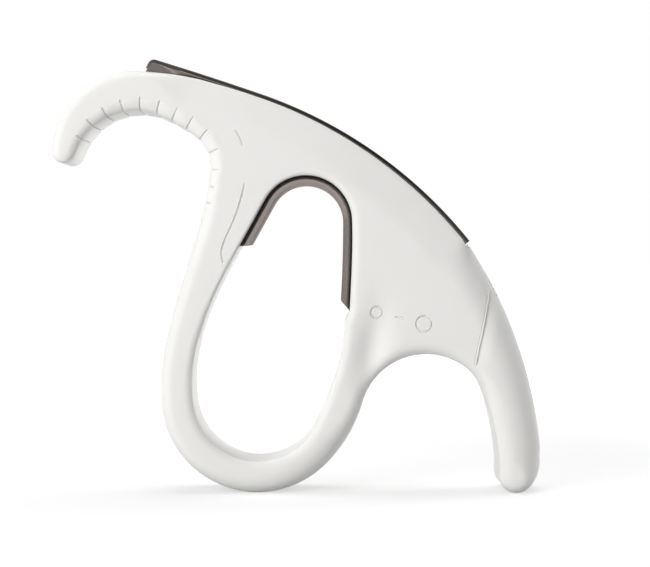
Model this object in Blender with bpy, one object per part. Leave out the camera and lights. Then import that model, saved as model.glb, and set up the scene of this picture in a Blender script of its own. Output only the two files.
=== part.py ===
import math

import bmesh
import bpy
from mathutils import Vector
from mathutils.geometry import tessellate_polygon

MM = 0.001

# Depth, measured across the rope (Y)
BODY_DEPTH = 20.8 * MM
ROPE_GAP = 12.4 * MM
SHEET = 1.35 * MM
CLEARANCE = 0.3 * MM
SEAM = 0.3 * MM
PANEL_STEP = 0.16 * MM
HALF_DEPTH = BODY_DEPTH / 2
HALF_GAP = ROPE_GAP / 2

# Rope guide mouth over the carabiner, its arc centred on the origin
CROWN_RADIUS = 8.85 * MM
RIM_WIDTH = 2.5 * MM
RIM_RADIUS = CROWN_RADIUS + RIM_WIDTH
LEG_LEAN = 29.0
LEG_LENGTH = 11.6 * MM
LEG_DROP = 19.4 * MM
LEG_TAPER = 0.6 * MM
LIP_SINK = 0.7 * MM
CROWN_FLARE_ANGLE = 65.0
CROWN_FLARE = (HALF_DEPTH - LIP_SINK - HALF_GAP - SHEET) / (1 - math.cos(math.radians(CROWN_FLARE_ANGLE)))

# Slant of the tips of both legs, as distance along for distance in
LEFT_TIP_SLANT = -0.7
RIGHT_TIP_SLANT = 1.0

# Top edge of the body, between the thumb hook and the start of the finger hook
TOP_RADIUS = 112.2 * MM
TOP_RIGHT = (38.7 * MM, -4.0 * MM)
TOP_LEFT = (-20.8 * MM, 33.5 * MM)

# Rope guide mouth along that edge. It starts before the right end of the arc and leaves it on a ramp
TOP_BEFORE = 0.8
RAMP_FROM = 5.0
RAMP_LENGTH = 27.3 * MM
RAMP_RADIUS = 500.0 * MM
TOP_RISE = 0.9 * MM
TOP_FLARE = 3.2 * MM
TOP_FLARE_ANGLE = 45.0

# Left end of that mouth, where the lip turns down and narrows
END_RADIUS = 1.6 * MM
END_TURN = 79.0
END_DROP = 1.4 * MM
END_FLARE = 0.1 * MM
END_FADE = (4.0 * MM, 11.0 * MM)

# Roots of the lips overlap the flat of the guide and stand proud of it by a trace. The room behind a lip is deeper
LIP_ROOT = 0.5 * MM
LIP_PROUD = 0.04 * MM
LIP_ROOM = 0.1 * MM

# End walls of the guide, placed from the corners of the two mouths
WALL_DEPTH = HALF_GAP + SHEET / 2
WALL_INSET = SHEET + 0.55 * MM
WALL_HEAD = 0.5 * MM
WALL_STRAIGHT = 3.4 * MM
WALL_FOOT_LEFT = (-2.5 * MM, 0.5 * MM)
WALL_FOOT_RIGHT = (1.3 * MM, -0.9 * MM)
WALL_HEAD_RIGHT = (0.1 * MM, -1.4 * MM)

# The flat of the guide ends above these heights, left and right of the crown
PLATE_LOW_LEFT = 3.0 * MM
PLATE_LOW_WALL = 5.0 * MM
PLATE_LOW_RIGHT = -12.0 * MM
PLATE_TAIL = 1.0 * MM

# Carabiner ring
PEAR_RADIUS = 15.95 * MM
LIMB_WIDTH = 7.85 * MM
PEAR_CENTRE = (-11.8 * MM, -43.0 * MM)
GROUND = PEAR_CENTRE[1] - PEAR_RADIUS - LIMB_WIDTH

# Shoulders of the opening beside the tips of the rim, measured down from the tips
ANKLE_DROP = 2.1 * MM
FOOT_DROP = 2.6 * MM
FOOT_RUN = 2.0 * MM
UNDER_DROP = 5.6 * MM
UNDER_STEP = 1.75 * MM

# Finger hook
HOOK_RADIUS = 20.45 * MM
HOOK_CENTRE = (-42.0 * MM, 16.6 * MM)
HOOK_WALL = 4.75 * MM
HOOK_TIP = 2.95 * MM
HOOK_TIP_RISE = 0.7 * MM
GRIP_RADIUS = HOOK_RADIUS - HOOK_WALL
GRIP_CENTRE = (-41.7 * MM, 11.6 * MM)
CORNER_RADIUS = 9.2 * MM
CORNER_CENTRE = (-32.6 * MM, 13.7 * MM)
WEB_WIDTH = 5.3 * MM
TURN_RADIUS = 85.75 * MM
TURN_RIGHT = (-27.5 * MM, 35.28 * MM)
TURN_LEFT = (-39.3 * MM, 36.94 * MM)

# Finger grooves, their profile given as share of the pitch and share of the depth
GROOVE_COUNT = 13
GROOVE_PITCH = 4.12 * MM
GROOVE_DEPTH = 0.5 * MM
GROOVE_MARGIN = 0.3 * MM
GROOVE_PROFILE = ((-0.14, 0.0), (-0.06, 0.65), (0.0, 1.0), (0.06, 0.65), (0.14, 0.0), (0.34, -0.15),
                  (0.5, -0.2), (0.66, -0.15))

# Thumb hook
ARCH_RADIUS = 16.3 * MM
ARCH_CENTRE = (29.6 * MM, -49.0 * MM)
THUMB_RADIUS = 63.5 * MM
THUMB_HIGH = (45.65 * MM, -47.05 * MM)
THUMB_LOW = (47.7 * MM, -60.2 * MM)
THUMB_TIP = 3.9 * MM
HEEL_RADIUS = 8.95 * MM
HEEL_CENTRE = (49.0 * MM, -58.9 * MM)
BACK_RADIUS = 107.4 * MM
BACK_LOW = (58.0 * MM, -55.2 * MM)
BACK_HIGH = (43.15 * MM, -10.2 * MM)

# Right edge of the raised cheek panel, on the thumb hook
PANEL_HIGH = (43.7 * MM, -11.6 * MM)
PANEL_KNEE = (45.1 * MM, -16.5 * MM)
PANEL_LOW = (41.9 * MM, -33.8 * MM)
PANEL_RUN_OUT = 6.0 * MM
PANEL_BEYOND = 40.0 * MM

# Roundings given as width in the plane of the device and depth across it
LIMB_LEFT_EDGE = (0.38 * LIMB_WIDTH, 0.42 * LIMB_WIDTH)
LIMB_RIGHT_EDGE = (0.61 * LIMB_WIDTH, 0.42 * LIMB_WIDTH)
LIMB_INNER_EDGE = (0.27 * LIMB_WIDTH, 0.31 * LIMB_WIDTH)
ARCH_EDGE = (3.0 * MM, 3.0 * MM)
THUMB_EDGE = (0.82 * THUMB_TIP, 0.52 * THUMB_TIP)
TIP_EDGE = (0.82 * THUMB_TIP, 0.8 * THUMB_TIP)
BACK_EDGE = (5.0 * MM, 4.4 * MM)
GRIP_EDGE = (0.63 * HOOK_WALL, 0.7 * HOOK_WALL)
HOOK_EDGE = (0.85 * HOOK_TIP, 0.95 * HOOK_TIP)
BAND_EDGE = (7.0 * MM, 1.1 * MM)
BAND_END_EDGE = (9.4 * MM, 1.4 * MM)
RIM_EDGE = (0.8 * MM, 0.8 * MM)
RIGHT_RIM_EDGE = (1.9 * MM, 1.4 * MM)

# Cutters reach past the surface that they cut by this much
CUT_OVER = 4.0 * MM
RING_CUT = 3.0 * MM

# Holes with more sides than this are not slivers
SLIVER_SIDES = 8

# Facets
ROUND_STEPS = 4
FLARE_STEPS = 5
LEG_STEPS = 4
CROWN_STEPS = 20
TOP_STEPS = 22


def polar(centre, radius, degrees):
    angle = math.radians(degrees)
    return (centre[0] + radius * math.cos(angle), centre[1] + radius * math.sin(angle))


def arc(centre, radius, start, end, count):
    """Points on an arc, both ends kept, angles in degrees."""
    return [polar(centre, radius, start + (end - start) * i / count) for i in range(count + 1)]


def heading(first, second):
    length = math.dist(first, second)
    return ((second[0] - first[0]) / length, (second[1] - first[1]) / length)


def mixed(first, second, share):
    return tuple(a + (b - a) * share for a, b in zip(first, second))


def moved(point, direction, distance):
    return (point[0] + direction[0] * distance, point[1] + direction[1] * distance)


def arcCentre(first, second, radius):
    """Centre of the arc of that radius that turns left from one point to the other."""
    along = heading(first, second)
    rise = math.sqrt(radius ** 2 - (math.dist(first, second) / 2) ** 2)
    return moved(mixed(first, second, 0.5), (-along[1], along[0]), rise)


def angleOf(centre, point):
    return math.degrees(math.atan2(point[1] - centre[1], point[0] - centre[0]))


def arcBetween(first, second, radius, count):
    """Points on an arc that turns left from one point to the other."""
    centre = arcCentre(first, second, radius)
    start = angleOf(centre, first)
    return arc(centre, radius, start, start + (angleOf(centre, second) - start) % 360.0, count)


def smooth(t):
    t = min(1.0, max(0.0, t))
    return t * t * (3 - 2 * t)


def blend(p0, d0, p1, d1, count, pull=1.0):
    """Points strictly between two ends on a cubic with the given end directions."""
    reach = pull * math.dist(p0, p1)
    points = []
    for i in range(1, count):
        t = i / count
        h00 = 2 * t ** 3 - 3 * t ** 2 + 1
        h10 = t ** 3 - 2 * t ** 2 + t
        h01 = 3 * t ** 2 - 2 * t ** 3
        h11 = t ** 3 - t ** 2
        points.append(tuple(
            h00 * p0[k] + h10 * reach * d0[k] + h01 * p1[k] + h11 * reach * d1[k] for k in (0, 1)
        ))
    return points


def chain(pieces):
    """Closed loop of runs joined by smooth blends. A piece is (points, edge at start, edge at end, blend count)."""
    rows = []
    for n, (points, edgeA, edgeB, count) in enumerate(pieces):
        last = len(points) - 1
        for i, p in enumerate(points):
            rows.append((*p, *mixed(edgeA, edgeB, smooth(i / last))))
        following, edgeC = pieces[(n + 1) % len(pieces)][:2]
        leave = heading(points[-2], points[-1])
        meet = heading(following[0], following[1])
        bridge = blend(points[-1], leave, following[0], meet, count)
        for i, p in enumerate(bridge):
            rows.append((*p, *mixed(edgeB, edgeC, smooth((i + 1) / count))))
    return rows


def normals(points, closed):
    """Unit vectors to the left of the direction of travel."""
    found = []
    count = len(points)
    for i in range(count):
        before = points[(i - 1) % count] if closed or i > 0 else points[i]
        after = points[(i + 1) % count] if closed or i < count - 1 else points[i]
        tx, tz = heading(before[:2], after[:2])
        found.append((-tz, tx))
    return found


def shifted(points, distance, closed=False):
    """The same run moved to its left by a distance."""
    return [(p[0] + n[0] * distance, p[1] + n[1] * distance) for p, n in zip(points, normals(points, closed))]


def material(name, colour, metallic, roughness):
    found = bpy.data.materials.new(name)
    found.use_nodes = True
    shader = found.node_tree.nodes["Principled BSDF"]
    shader.inputs["Base Color"].default_value = (*colour, 1.0)
    shader.inputs["Metallic"].default_value = metallic
    shader.inputs["Roughness"].default_value = roughness
    found.diffuse_color = (*colour, 1.0)
    return found


def solid(name, verts, faces):
    """A closed mesh whose flat areas are merged into large faces."""
    mesh = bpy.data.meshes.new(name)
    work = bmesh.new()
    made = [work.verts.new(v) for v in verts]
    for face in faces:
        work.faces.new([made[i] for i in face])
    bmesh.ops.recalc_face_normals(work, faces=work.faces[:])
    flat = [edge for edge in work.edges if edge.calc_face_angle(1.0) < 0.00001]
    bmesh.ops.dissolve_limit(work, angle_limit=0.00001, edges=flat, verts=[])
    work.to_mesh(mesh)
    work.free()
    found = bpy.data.objects.new(name, mesh)
    bpy.context.scene.collection.objects.link(found)
    return found


def prism(name, loop, nearY, farY):
    """A closed outline in the plane of the device, given thickness in Y."""
    count = len(loop)
    verts = [(x, nearY, z) for x, z in loop] + [(x, farY, z) for x, z in loop]
    faces = [(i, (i + 1) % count, count + (i + 1) % count, count + i) for i in range(count)]
    for a, b, c in tessellate_polygon([[Vector((x, z, 0)) for x, z in loop]]):
        faces.append((a, b, c))
        faces.append((count + c, count + b, count + a))
    return solid(name, verts, faces)


def sweep(name, path, sections, slants, side):
    """Carries closed sections (inward distance, depth) along a path. The ends slant along it."""
    across = normals(path, False)
    for i, slant in zip((0, -1), slants):
        nx, nz = across[i]
        across[i] = (nx + nz * slant, nz - nx * slant)
    ring = len(sections[0])
    verts = []
    for p, n, section in zip(path, across, sections):
        for inward, depth in section:
            verts.append((p[0] + n[0] * inward, side * depth, p[1] + n[1] * inward))
    faces = []
    for i in range(len(path) - 1):
        for k in range(ring):
            m = (k + 1) % ring
            faces.append((i * ring + k, i * ring + m, (i + 1) * ring + m, (i + 1) * ring + k))
    base = (len(path) - 1) * ring
    for start, section in ((0, sections[0]), (base, sections[-1])):
        flat = [Vector((inward, depth, 0)) for inward, depth in section]
        for corners in tessellate_polygon([flat]):
            faces.append(tuple(start + i for i in corners))
    return solid(name, verts, faces)


def closeSlivers(mesh):
    """Fills the narrow triangles that a boolean can leave open."""
    work = bmesh.new()
    work.from_mesh(mesh)
    gaps = [edge for edge in work.edges if edge.is_boundary]
    bmesh.ops.holes_fill(work, edges=gaps, sides=SLIVER_SIDES)
    work.to_mesh(mesh)
    work.free()


def combine(base, others, operation):
    """Applies exact booleans one after another and removes the tools."""
    for other in others:
        step = base.modifiers.new(operation.lower(), "BOOLEAN")
        step.operation = operation
        step.solver = "EXACT"
        step.object = other
        bpy.context.view_layer.update()
        graph = bpy.context.evaluated_depsgraph_get()
        result = bpy.data.meshes.new_from_object(base.evaluated_get(graph), depsgraph=graph)
        base.modifiers.clear()
        former = base.data
        base.data = result
        bpy.data.meshes.remove(former)
        spent = other.data
        bpy.data.objects.remove(other)
        bpy.data.meshes.remove(spent)
        closeSlivers(result)
    base.data.name = base.name
    return base


def finish(found, look, angle):
    found.data.materials.clear()
    found.data.materials.append(look)
    work = bmesh.new()
    work.from_mesh(found.data)
    bmesh.ops.remove_doubles(work, verts=work.verts[:], dist=0.000001)
    bmesh.ops.recalc_face_normals(work, faces=work.faces[:])
    for face in work.faces:
        face.smooth = True
        face.material_index = 0
    for edge in work.edges:
        edge.smooth = len(edge.link_faces) == 2 and edge.calc_face_angle(0.0) < angle
    work.to_mesh(found.data)
    work.free()
    return found


def crownMouth(steps):
    """Edge of the lower mouth from the left leg over the crown to the foot of the right leg."""
    left = 180.0 - LEG_LEAN
    shoulder = polar((0.0, 0.0), CROWN_RADIUS, left)
    tip = polar(shoulder, LEG_LENGTH, 270.0 - LEG_LEAN)
    points = [mixed(tip, shoulder, i / LEG_STEPS) for i in range(LEG_STEPS)]
    points += arc((0.0, 0.0), CROWN_RADIUS, left, 0.0, steps)
    for i in range(1, LEG_STEPS + 1):
        t = i / LEG_STEPS
        points.append((CROWN_RADIUS - LEG_TAPER * t ** 2, -LEG_DROP * t))
    return points


def topMouth(steps):
    """Edge of the upper mouth from its right end along the arc, up the ramp and round the left end."""
    centre = arcCentre(TOP_RIGHT, TOP_LEFT, TOP_RADIUS)
    radius = TOP_RADIUS + TOP_RISE
    start = angleOf(centre, TOP_RIGHT) - TOP_BEFORE
    rampStart = angleOf(centre, TOP_LEFT) - RAMP_FROM
    rampEnd = rampStart + math.degrees(RAMP_LENGTH / RAMP_RADIUS)
    points = arc(centre, radius, start, rampStart, steps)
    points += arc(polar(points[-1], -RAMP_RADIUS, rampStart), RAMP_RADIUS, rampStart, rampEnd, 9)[1:]
    points += arc(polar(points[-1], -END_RADIUS, rampEnd), END_RADIUS, rampEnd, rampEnd + END_TURN, 5)[1:]
    down = rampEnd + END_TURN + 90.0
    return points + [polar(points[-1], END_DROP * share, down) for share in (0.5, 1.0)]


def topFlares(points):
    """Flare of the lip at each point of the upper mouth."""
    start, end = END_FADE
    return [END_FLARE + (TOP_FLARE - END_FLARE) * smooth((math.dist(p, points[-1]) - start) / (end - start))
            for p in points]


def leftWall():
    """Rope side of the wall at the left end, from the mouth down to the ring."""
    mouth = topMouth(8)
    down = heading(mouth[-2], mouth[-1])
    head = moved(moved(mouth[-3], (-down[1], down[0]), WALL_INSET), down, -WALL_HEAD)
    knee = moved(head, down, WALL_STRAIGHT)
    bend = arc(CORNER_CENTRE, CORNER_RADIUS + WEB_WIDTH, 76.0, -8.0, 10)
    foot = moved(crownMouth(8)[0], WALL_FOOT_LEFT, 1.0)
    entry = blend(knee, down, bend[0], heading(bend[0], bend[1]), 9)
    leave = blend(bend[-1], heading(bend[-2], bend[-1]), foot, (0.1, -0.99), 6)
    return [head, knee] + entry + bend + leave + [foot]


def rightWall():
    """Rope side of the wall at the right end, from the ring up to the arc."""
    foot = moved(crownMouth(8)[-1], WALL_FOOT_RIGHT, 1.0)
    head = moved(topMouth(8)[0], WALL_HEAD_RIGHT, 1.0)
    return [foot] + blend(foot, (0.15, 0.99), head, (0.96, 0.28), 12, 1.1) + [head]


def lipReach(flare, angle):
    return (flare + SHEET) * math.sin(math.radians(angle))


def flareSection(flare, angle, grow):
    """Section of a flared lip as (distance in from the mouth, depth). Grown, it is the room cut for it."""
    reach = lipReach(flare, angle)
    spare = grow if grow else LIP_PROUD
    root = reach + LIP_ROOT + grow
    inner = HALF_GAP - spare
    outer = HALF_GAP + SHEET + spare + (LIP_ROOM if grow else 0.0)
    hollow = max(flare - grow, END_FLARE)
    turns = [math.radians(angle) * i / FLARE_STEPS for i in range(FLARE_STEPS + 1)]
    back = [(reach - hollow * math.sin(a), outer + hollow * (1 - math.cos(a))) for a in turns]
    if grow:
        side = back[-1][0]
        outside = HALF_DEPTH + CUT_OVER
        return [(root, inner), (root, outer)] + back + [(side, outside), (-CUT_OVER, outside), (-CUT_OVER, inner)]
    fold = flare + SHEET
    rope = [(reach - fold * math.sin(a), inner + fold * (1 - math.cos(a))) for a in reversed(turns)]
    return [(root, inner), (root, outer)] + back + rope


def lip(path, flares, angle, slants, side, grow=0.0):
    """One flared lip along a mouth, or the room for it in the body."""
    longer = list(path)
    longer[0] = moved(path[0], heading(path[1], path[0]), grow)
    longer[-1] = moved(path[-1], heading(path[-2], path[-1]), grow)
    sections = [flareSection(flare, angle, grow) for flare in flares]
    return sweep("lip", longer, sections, slants, side)


def bothLips(side, grow=0.0):
    crown = crownMouth(CROWN_STEPS)
    top = topMouth(TOP_STEPS)
    slants = (LEFT_TIP_SLANT, RIGHT_TIP_SLANT)
    return [
        lip(crown, [CROWN_FLARE] * len(crown), CROWN_FLARE_ANGLE, slants, side, grow),
        lip(top, topFlares(top), TOP_FLARE_ANGLE, (0.0, 0.0), side, grow),
    ]


def plateOutline():
    """Flat of the guide between its two lips and its two end walls."""
    crown = crownMouth(CROWN_STEPS)
    top = topMouth(TOP_STEPS)
    lower = shifted(crown, lipReach(CROWN_FLARE, CROWN_FLARE_ANGLE) + LIP_ROOT / 2)
    lower = [p for p in lower if p[1] > (PLATE_LOW_LEFT if p[0] < 0 else PLATE_LOW_RIGHT)]
    lower.insert(0, moved(lower[0], heading(lower[1], lower[0]), PLATE_TAIL))
    lower.append(moved(lower[-1], heading(lower[-2], lower[-1]), PLATE_TAIL))
    reaches = [lipReach(flare, TOP_FLARE_ANGLE) + LIP_ROOT / 2 for flare in topFlares(top)]
    upper = [moved(p, n, reach) for p, n, reach in zip(top, normals(top, False), reaches)]
    left = [p for p in shifted(leftWall(), -SHEET / 2) if PLATE_LOW_WALL < p[1] < upper[-1][1]]
    right = [p for p in shifted(rightWall(), -SHEET / 2) if p[0] > lower[-1][0] + SHEET and p[1] < upper[0][1]]
    return upper + left + lower + right


def guideHalf(name, side, look):
    plate = prism(name, plateOutline(), side * HALF_GAP, side * (HALF_GAP + SHEET))
    seam = side * SEAM / 2
    walls = []
    for wall in (leftWall(), rightWall()):
        walls.append(prism("wall", wall + shifted(wall, -SHEET)[::-1], seam, side * WALL_DEPTH))
    combine(plate, walls + bothLips(side), "UNION")
    return finish(plate, look, math.radians(32.0))


def outerEdge():
    tip = (THUMB_LOW[0] + THUMB_TIP, GROUND + THUMB_TIP)
    hookEnd = (HOOK_CENTRE[0] - HOOK_RADIUS + HOOK_TIP, HOOK_CENTRE[1] + HOOK_TIP_RISE)
    back = arcBetween(BACK_LOW, BACK_HIGH, BACK_RADIUS, 14)
    thumb = arcBetween(THUMB_LOW, THUMB_HIGH, THUMB_RADIUS, 5)[::-1]
    return chain([
        (arc(PEAR_CENTRE, PEAR_RADIUS + LIMB_WIDTH, 184.0, 318.0, 26), LIMB_LEFT_EDGE, LIMB_RIGHT_EDGE, 6),
        (arc(ARCH_CENTRE, ARCH_RADIUS, 165.0, 42.0, 18), ARCH_EDGE, ARCH_EDGE, 4),
        (thumb, THUMB_EDGE, THUMB_EDGE, 2),
        (arc(tip, THUMB_TIP, 180.0, 270.0, 7), THUMB_EDGE, TIP_EDGE, 4),
        (arc(HEEL_CENTRE, HEEL_RADIUS, -50.0, 4.0, 7), TIP_EDGE, BACK_EDGE, 3),
        (back, BACK_EDGE, BAND_END_EDGE, 4),
        (arcBetween(TOP_RIGHT, TOP_LEFT, TOP_RADIUS, 18), BAND_END_EDGE, BAND_EDGE, 3),
        (arcBetween(TURN_RIGHT, TURN_LEFT, TURN_RADIUS, 4), BAND_EDGE, HOOK_EDGE, 2),
        (arc(HOOK_CENTRE, HOOK_RADIUS, 97.0, 176.0, 15), HOOK_EDGE, HOOK_EDGE, 1),
        (arc(hookEnd, HOOK_TIP, 184.0, 345.0, 11), HOOK_EDGE, HOOK_EDGE, 2),
        (arc(GRIP_CENTRE, GRIP_RADIUS, 155.0, 62.0, 28), GRIP_EDGE, GRIP_EDGE, 5),
        (arc(CORNER_CENTRE, CORNER_RADIUS, 54.0, -8.0, 16), GRIP_EDGE, GRIP_EDGE, 18),
    ])


def innerEdge():
    """Opening for the carabiner, travelled so that the plastic is on the left."""
    shoulder = polar((0.0, 0.0), RIM_RADIUS, 180.0 - LEG_LEAN)
    ankle = polar(shoulder, LEG_LENGTH + ANKLE_DROP, 270.0 - LEG_LEAN)
    foot = (RIM_RADIUS - LEG_TAPER, -LEG_DROP - FOOT_DROP)
    under = (RIM_RADIUS - UNDER_STEP, -LEG_DROP - UNDER_DROP)
    return chain([
        (arc(PEAR_CENTRE, PEAR_RADIUS, 336.0, 188.0, 24), LIMB_INNER_EDGE, LIMB_INNER_EDGE, 14),
        ([ankle, mixed(ankle, shoulder, 0.5)], RIM_EDGE, RIM_EDGE, 2),
        (arc((0.0, 0.0), RIM_RADIUS, 180.0 - LEG_LEAN, 0.0, 22), RIM_EDGE, RIGHT_RIM_EDGE, 4),
        ([moved(foot, (0.05, 1.0), FOOT_RUN), foot], RIGHT_RIM_EDGE, RIGHT_RIM_EDGE, 3),
        ([under, moved(under, (-0.05, -1.0), FOOT_RUN / 2)], LIMB_INNER_EDGE, LIMB_INNER_EDGE, 9),
    ])


def grooved(rows):
    """Adds the finger grooves: returns rows with a fifth value, the depth cut at that point."""
    points = [(r[0], r[1]) for r in rows]
    first = polar(GRIP_CENTRE, GRIP_RADIUS, 146.0)
    start = min(range(len(points)), key=lambda i: math.dist(points[i], first))
    count = len(rows)
    runs = [0.0]
    order = [(start - 2 + i) % count for i in range(count)]
    for a, b in zip(order, order[1:]):
        runs.append(runs[-1] + math.dist(points[a], points[b]))
    origin = runs[2]
    marks = []
    for i in range(GROOVE_COUNT):
        for part, cut in GROOVE_PROFILE:
            if i < GROOVE_COUNT - 1 or part < 0.2:
                marks.append((origin + GROOVE_PITCH * (i + part), cut * GROOVE_DEPTH))
    made = []
    k = 0
    for at, cut in marks:
        while runs[k + 1] < at:
            k += 1
        share = (at - runs[k]) / (runs[k + 1] - runs[k])
        made.append(mixed(rows[order[k]], rows[order[k + 1]], share) + (cut,))
    low = marks[0][0] - GROOVE_MARGIN
    high = marks[-1][0] + GROOVE_MARGIN
    rest = [(*rows[i], 0.0) for i, run in zip(order, runs) if run > high]
    before = [(*rows[i], 0.0) for i, run in zip(order, runs) if run < low]
    return before + made + rest


def bodyBlank(name):
    loops = [grooved(outerEdge()), [(*row, 0.0) for row in innerEdge()]]
    turns = [math.pi / 2 * (1 - i / ROUND_STEPS) for i in range(ROUND_STEPS + 1)]
    layers = [(-1, a) for a in turns] + [(1, a) for a in reversed(turns)]
    verts = []
    faces = []
    starts = []
    for rows in loops:
        inward = normals(rows, True)
        count = len(rows)
        starts.append(len(verts))
        for side, a in layers:
            for (x, z, width, depth, cut), n in zip(rows, inward):
                fade = math.sqrt(max(0.0, math.cos(a)))
                shift = width * (1 - math.cos(a)) + cut * fade * math.cos(a)
                y = HALF_DEPTH - depth * (1 - math.sin(a)) - cut * fade * math.sin(a)
                verts.append((x + n[0] * shift, side * y, z + n[1] * shift))
        base = starts[-1]
        for layer in range(len(layers) - 1):
            for i in range(count):
                j = (i + 1) % count
                low = base + layer * count
                high = low + count
                faces.append((low + i, low + j, high + j, high + i))
    sizes = [len(rows) for rows in loops]
    near = [[Vector((verts[starts[k] + i][0], verts[starts[k] + i][2], 0)) for i in range(sizes[k])] for k in (0, 1)]
    lastLayer = len(layers) - 1
    for triangle in tessellate_polygon(near):
        front = []
        rear = []
        for index in triangle:
            k = 0 if index < sizes[0] else 1
            i = index - (sizes[0] if k else 0)
            front.append(starts[k] + i)
            rear.append(starts[k] + lastLayer * sizes[k] + i)
        faces.append(tuple(front))
        faces.append(tuple(reversed(rear)))
    return solid(name, verts, faces)


def ropeRoom():
    """Room in the body for both halves of the rope guide and the rope between them."""
    left = shifted(leftWall(), -SHEET - CLEARANCE)
    right = shifted(rightWall(), -SHEET - CLEARANCE)
    lower = shifted(crownMouth(CROWN_STEPS), -RING_CUT)
    upper = shifted(topMouth(TOP_STEPS), -CUT_OVER)
    left.append(moved(left[-1], (0.0, -1.0), CLEARANCE))
    right.insert(0, moved(right[0], (0.0, -1.0), CLEARANCE))
    depth = HALF_GAP + SHEET + CLEARANCE
    return prism("rope_room", upper + left + lower + right, -depth, depth)


def hookRelief(side):
    """Thin slice off the face of the thumb hook, right of the cheek panel."""
    top = (0.45, -0.89)
    low = (-0.22, -0.97)
    line = [moved(PANEL_HIGH, top, -PANEL_RUN_OUT), PANEL_HIGH]
    line += blend(PANEL_HIGH, top, PANEL_KNEE, (0.0, -1.0), 4) + [PANEL_KNEE]
    line += blend(PANEL_KNEE, (0.0, -1.0), PANEL_LOW, low, 6) + [PANEL_LOW]
    line.append(moved(PANEL_LOW, low, PANEL_RUN_OUT))
    line += [moved(line[-1], (0.5, -1.0), PANEL_BEYOND), moved(line[0], (1.0, -0.5), PANEL_BEYOND)]
    return prism("hook_relief", line, side * (HALF_DEPTH - PANEL_STEP), side * (HALF_DEPTH + CUT_OVER))


def body(look):
    found = bodyBlank("body")
    tools = [hookRelief(-1), hookRelief(1), ropeRoom()]
    tools += bothLips(-1, CLEARANCE) + bothLips(1, CLEARANCE)
    combine(found, tools, "DIFFERENCE")
    return finish(found, look, math.radians(38.0))


def main():
    for found in list(bpy.data.objects):
        bpy.data.objects.remove(found, do_unlink=True)
    plastic = material("white_polyamide", (0.80, 0.80, 0.79), 0.0, 0.42)
    steel = material("stainless_steel", (0.42, 0.41, 0.40), 1.0, 0.34)
    body(plastic)
    guideHalf("rope_guide_near", -1, steel)
    guideHalf("rope_guide_far", 1, steel)


main()
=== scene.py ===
import math

import bmesh
import bpy
import numpy as np
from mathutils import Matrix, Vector
from mathutils.bvhtree import BVHTree
from mathutils.geometry import delaunay_2d_cdt, tessellate_polygon


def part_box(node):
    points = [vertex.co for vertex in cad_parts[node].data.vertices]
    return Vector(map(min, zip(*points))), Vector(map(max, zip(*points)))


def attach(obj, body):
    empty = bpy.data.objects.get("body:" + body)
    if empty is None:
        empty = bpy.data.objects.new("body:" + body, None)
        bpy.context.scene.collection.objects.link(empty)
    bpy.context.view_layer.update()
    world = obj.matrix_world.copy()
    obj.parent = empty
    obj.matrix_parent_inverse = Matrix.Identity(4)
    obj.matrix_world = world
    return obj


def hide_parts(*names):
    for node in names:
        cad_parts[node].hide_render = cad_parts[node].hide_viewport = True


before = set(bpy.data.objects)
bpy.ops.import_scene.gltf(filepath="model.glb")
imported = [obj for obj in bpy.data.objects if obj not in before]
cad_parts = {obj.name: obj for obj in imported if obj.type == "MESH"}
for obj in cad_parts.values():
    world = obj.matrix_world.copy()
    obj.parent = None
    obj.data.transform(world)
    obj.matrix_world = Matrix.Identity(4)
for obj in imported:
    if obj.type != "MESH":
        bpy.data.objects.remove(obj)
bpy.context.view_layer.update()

mm = 0.001
print("frame loaded:", ", ".join(sorted(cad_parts)))


# small geometry helpers, all in millimetres in the plane of the device

def polar(centre, radius, degrees):
    angle = math.radians(degrees)
    return (centre[0] + radius * math.cos(angle), centre[1] + radius * math.sin(angle))


def heading(first, second):
    length = math.dist(first[:2], second[:2])
    return ((second[0] - first[0]) / length, (second[1] - first[1]) / length)


def moved(point, direction, distance):
    return (point[0] + direction[0] * distance, point[1] + direction[1] * distance)


def mixed(first, second, share):
    return tuple(a + (b - a) * share for a, b in zip(first, second))


def smooth(t):
    t = min(1.0, max(0.0, t))
    return t * t * (3 - 2 * t)


def angleOf(centre, point):
    return math.degrees(math.atan2(point[1] - centre[1], point[0] - centre[0]))


def arc(centre, radius, start, end, step):
    count = max(2, math.ceil(abs(math.radians(end - start)) * radius / step))
    return [polar(centre, radius, start + (end - start) * i / count) for i in range(count + 1)]


def arcCentre(first, second, radius):  # for an arc that turns left on its way
    along = heading(first, second)
    rise = math.sqrt(radius ** 2 - (math.dist(first, second) / 2) ** 2)
    return moved(mixed(first, second, 0.5), (-along[1], along[0]), rise)


def arcBetween(first, second, radius, step):
    centre = arcCentre(first, second, radius)
    start = angleOf(centre, first)
    return arc(centre, radius, start, start + (angleOf(centre, second) - start) % 360.0, step)


def blend(p0, d0, p1, d1, step, pull=1.0):  # points strictly between two ends
    length = math.dist(p0, p1)
    count = max(2, math.ceil(length / step))
    reach = pull * length
    points = []
    for i in range(1, count):
        t = i / count
        h00 = 2 * t ** 3 - 3 * t ** 2 + 1
        h10 = t ** 3 - 2 * t ** 2 + t
        h01 = 3 * t ** 2 - 2 * t ** 3
        h11 = t ** 3 - t ** 2
        points.append(tuple(
            h00 * p0[k] + h10 * reach * d0[k] + h01 * p1[k] + h11 * reach * d1[k] for k in (0, 1)
        ))
    return points


def chain(pieces, step):  # closed loop of (points, rounding at start, rounding at end)
    rows = []
    for n, (points, roundA, roundB) in enumerate(pieces):
        last = len(points) - 1
        for i, p in enumerate(points):
            rows.append((*p, *mixed(roundA, roundB, smooth(i / last))))
        following, roundC = pieces[(n + 1) % len(pieces)][:2]
        bridge = blend(points[-1], heading(points[-2], points[-1]),
                       following[0], heading(following[0], following[1]), step)
        for i, p in enumerate(bridge):
            rows.append((*p, *mixed(roundB, roundC, smooth((i + 1) / (len(bridge) + 1)))))
    return rows


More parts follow.
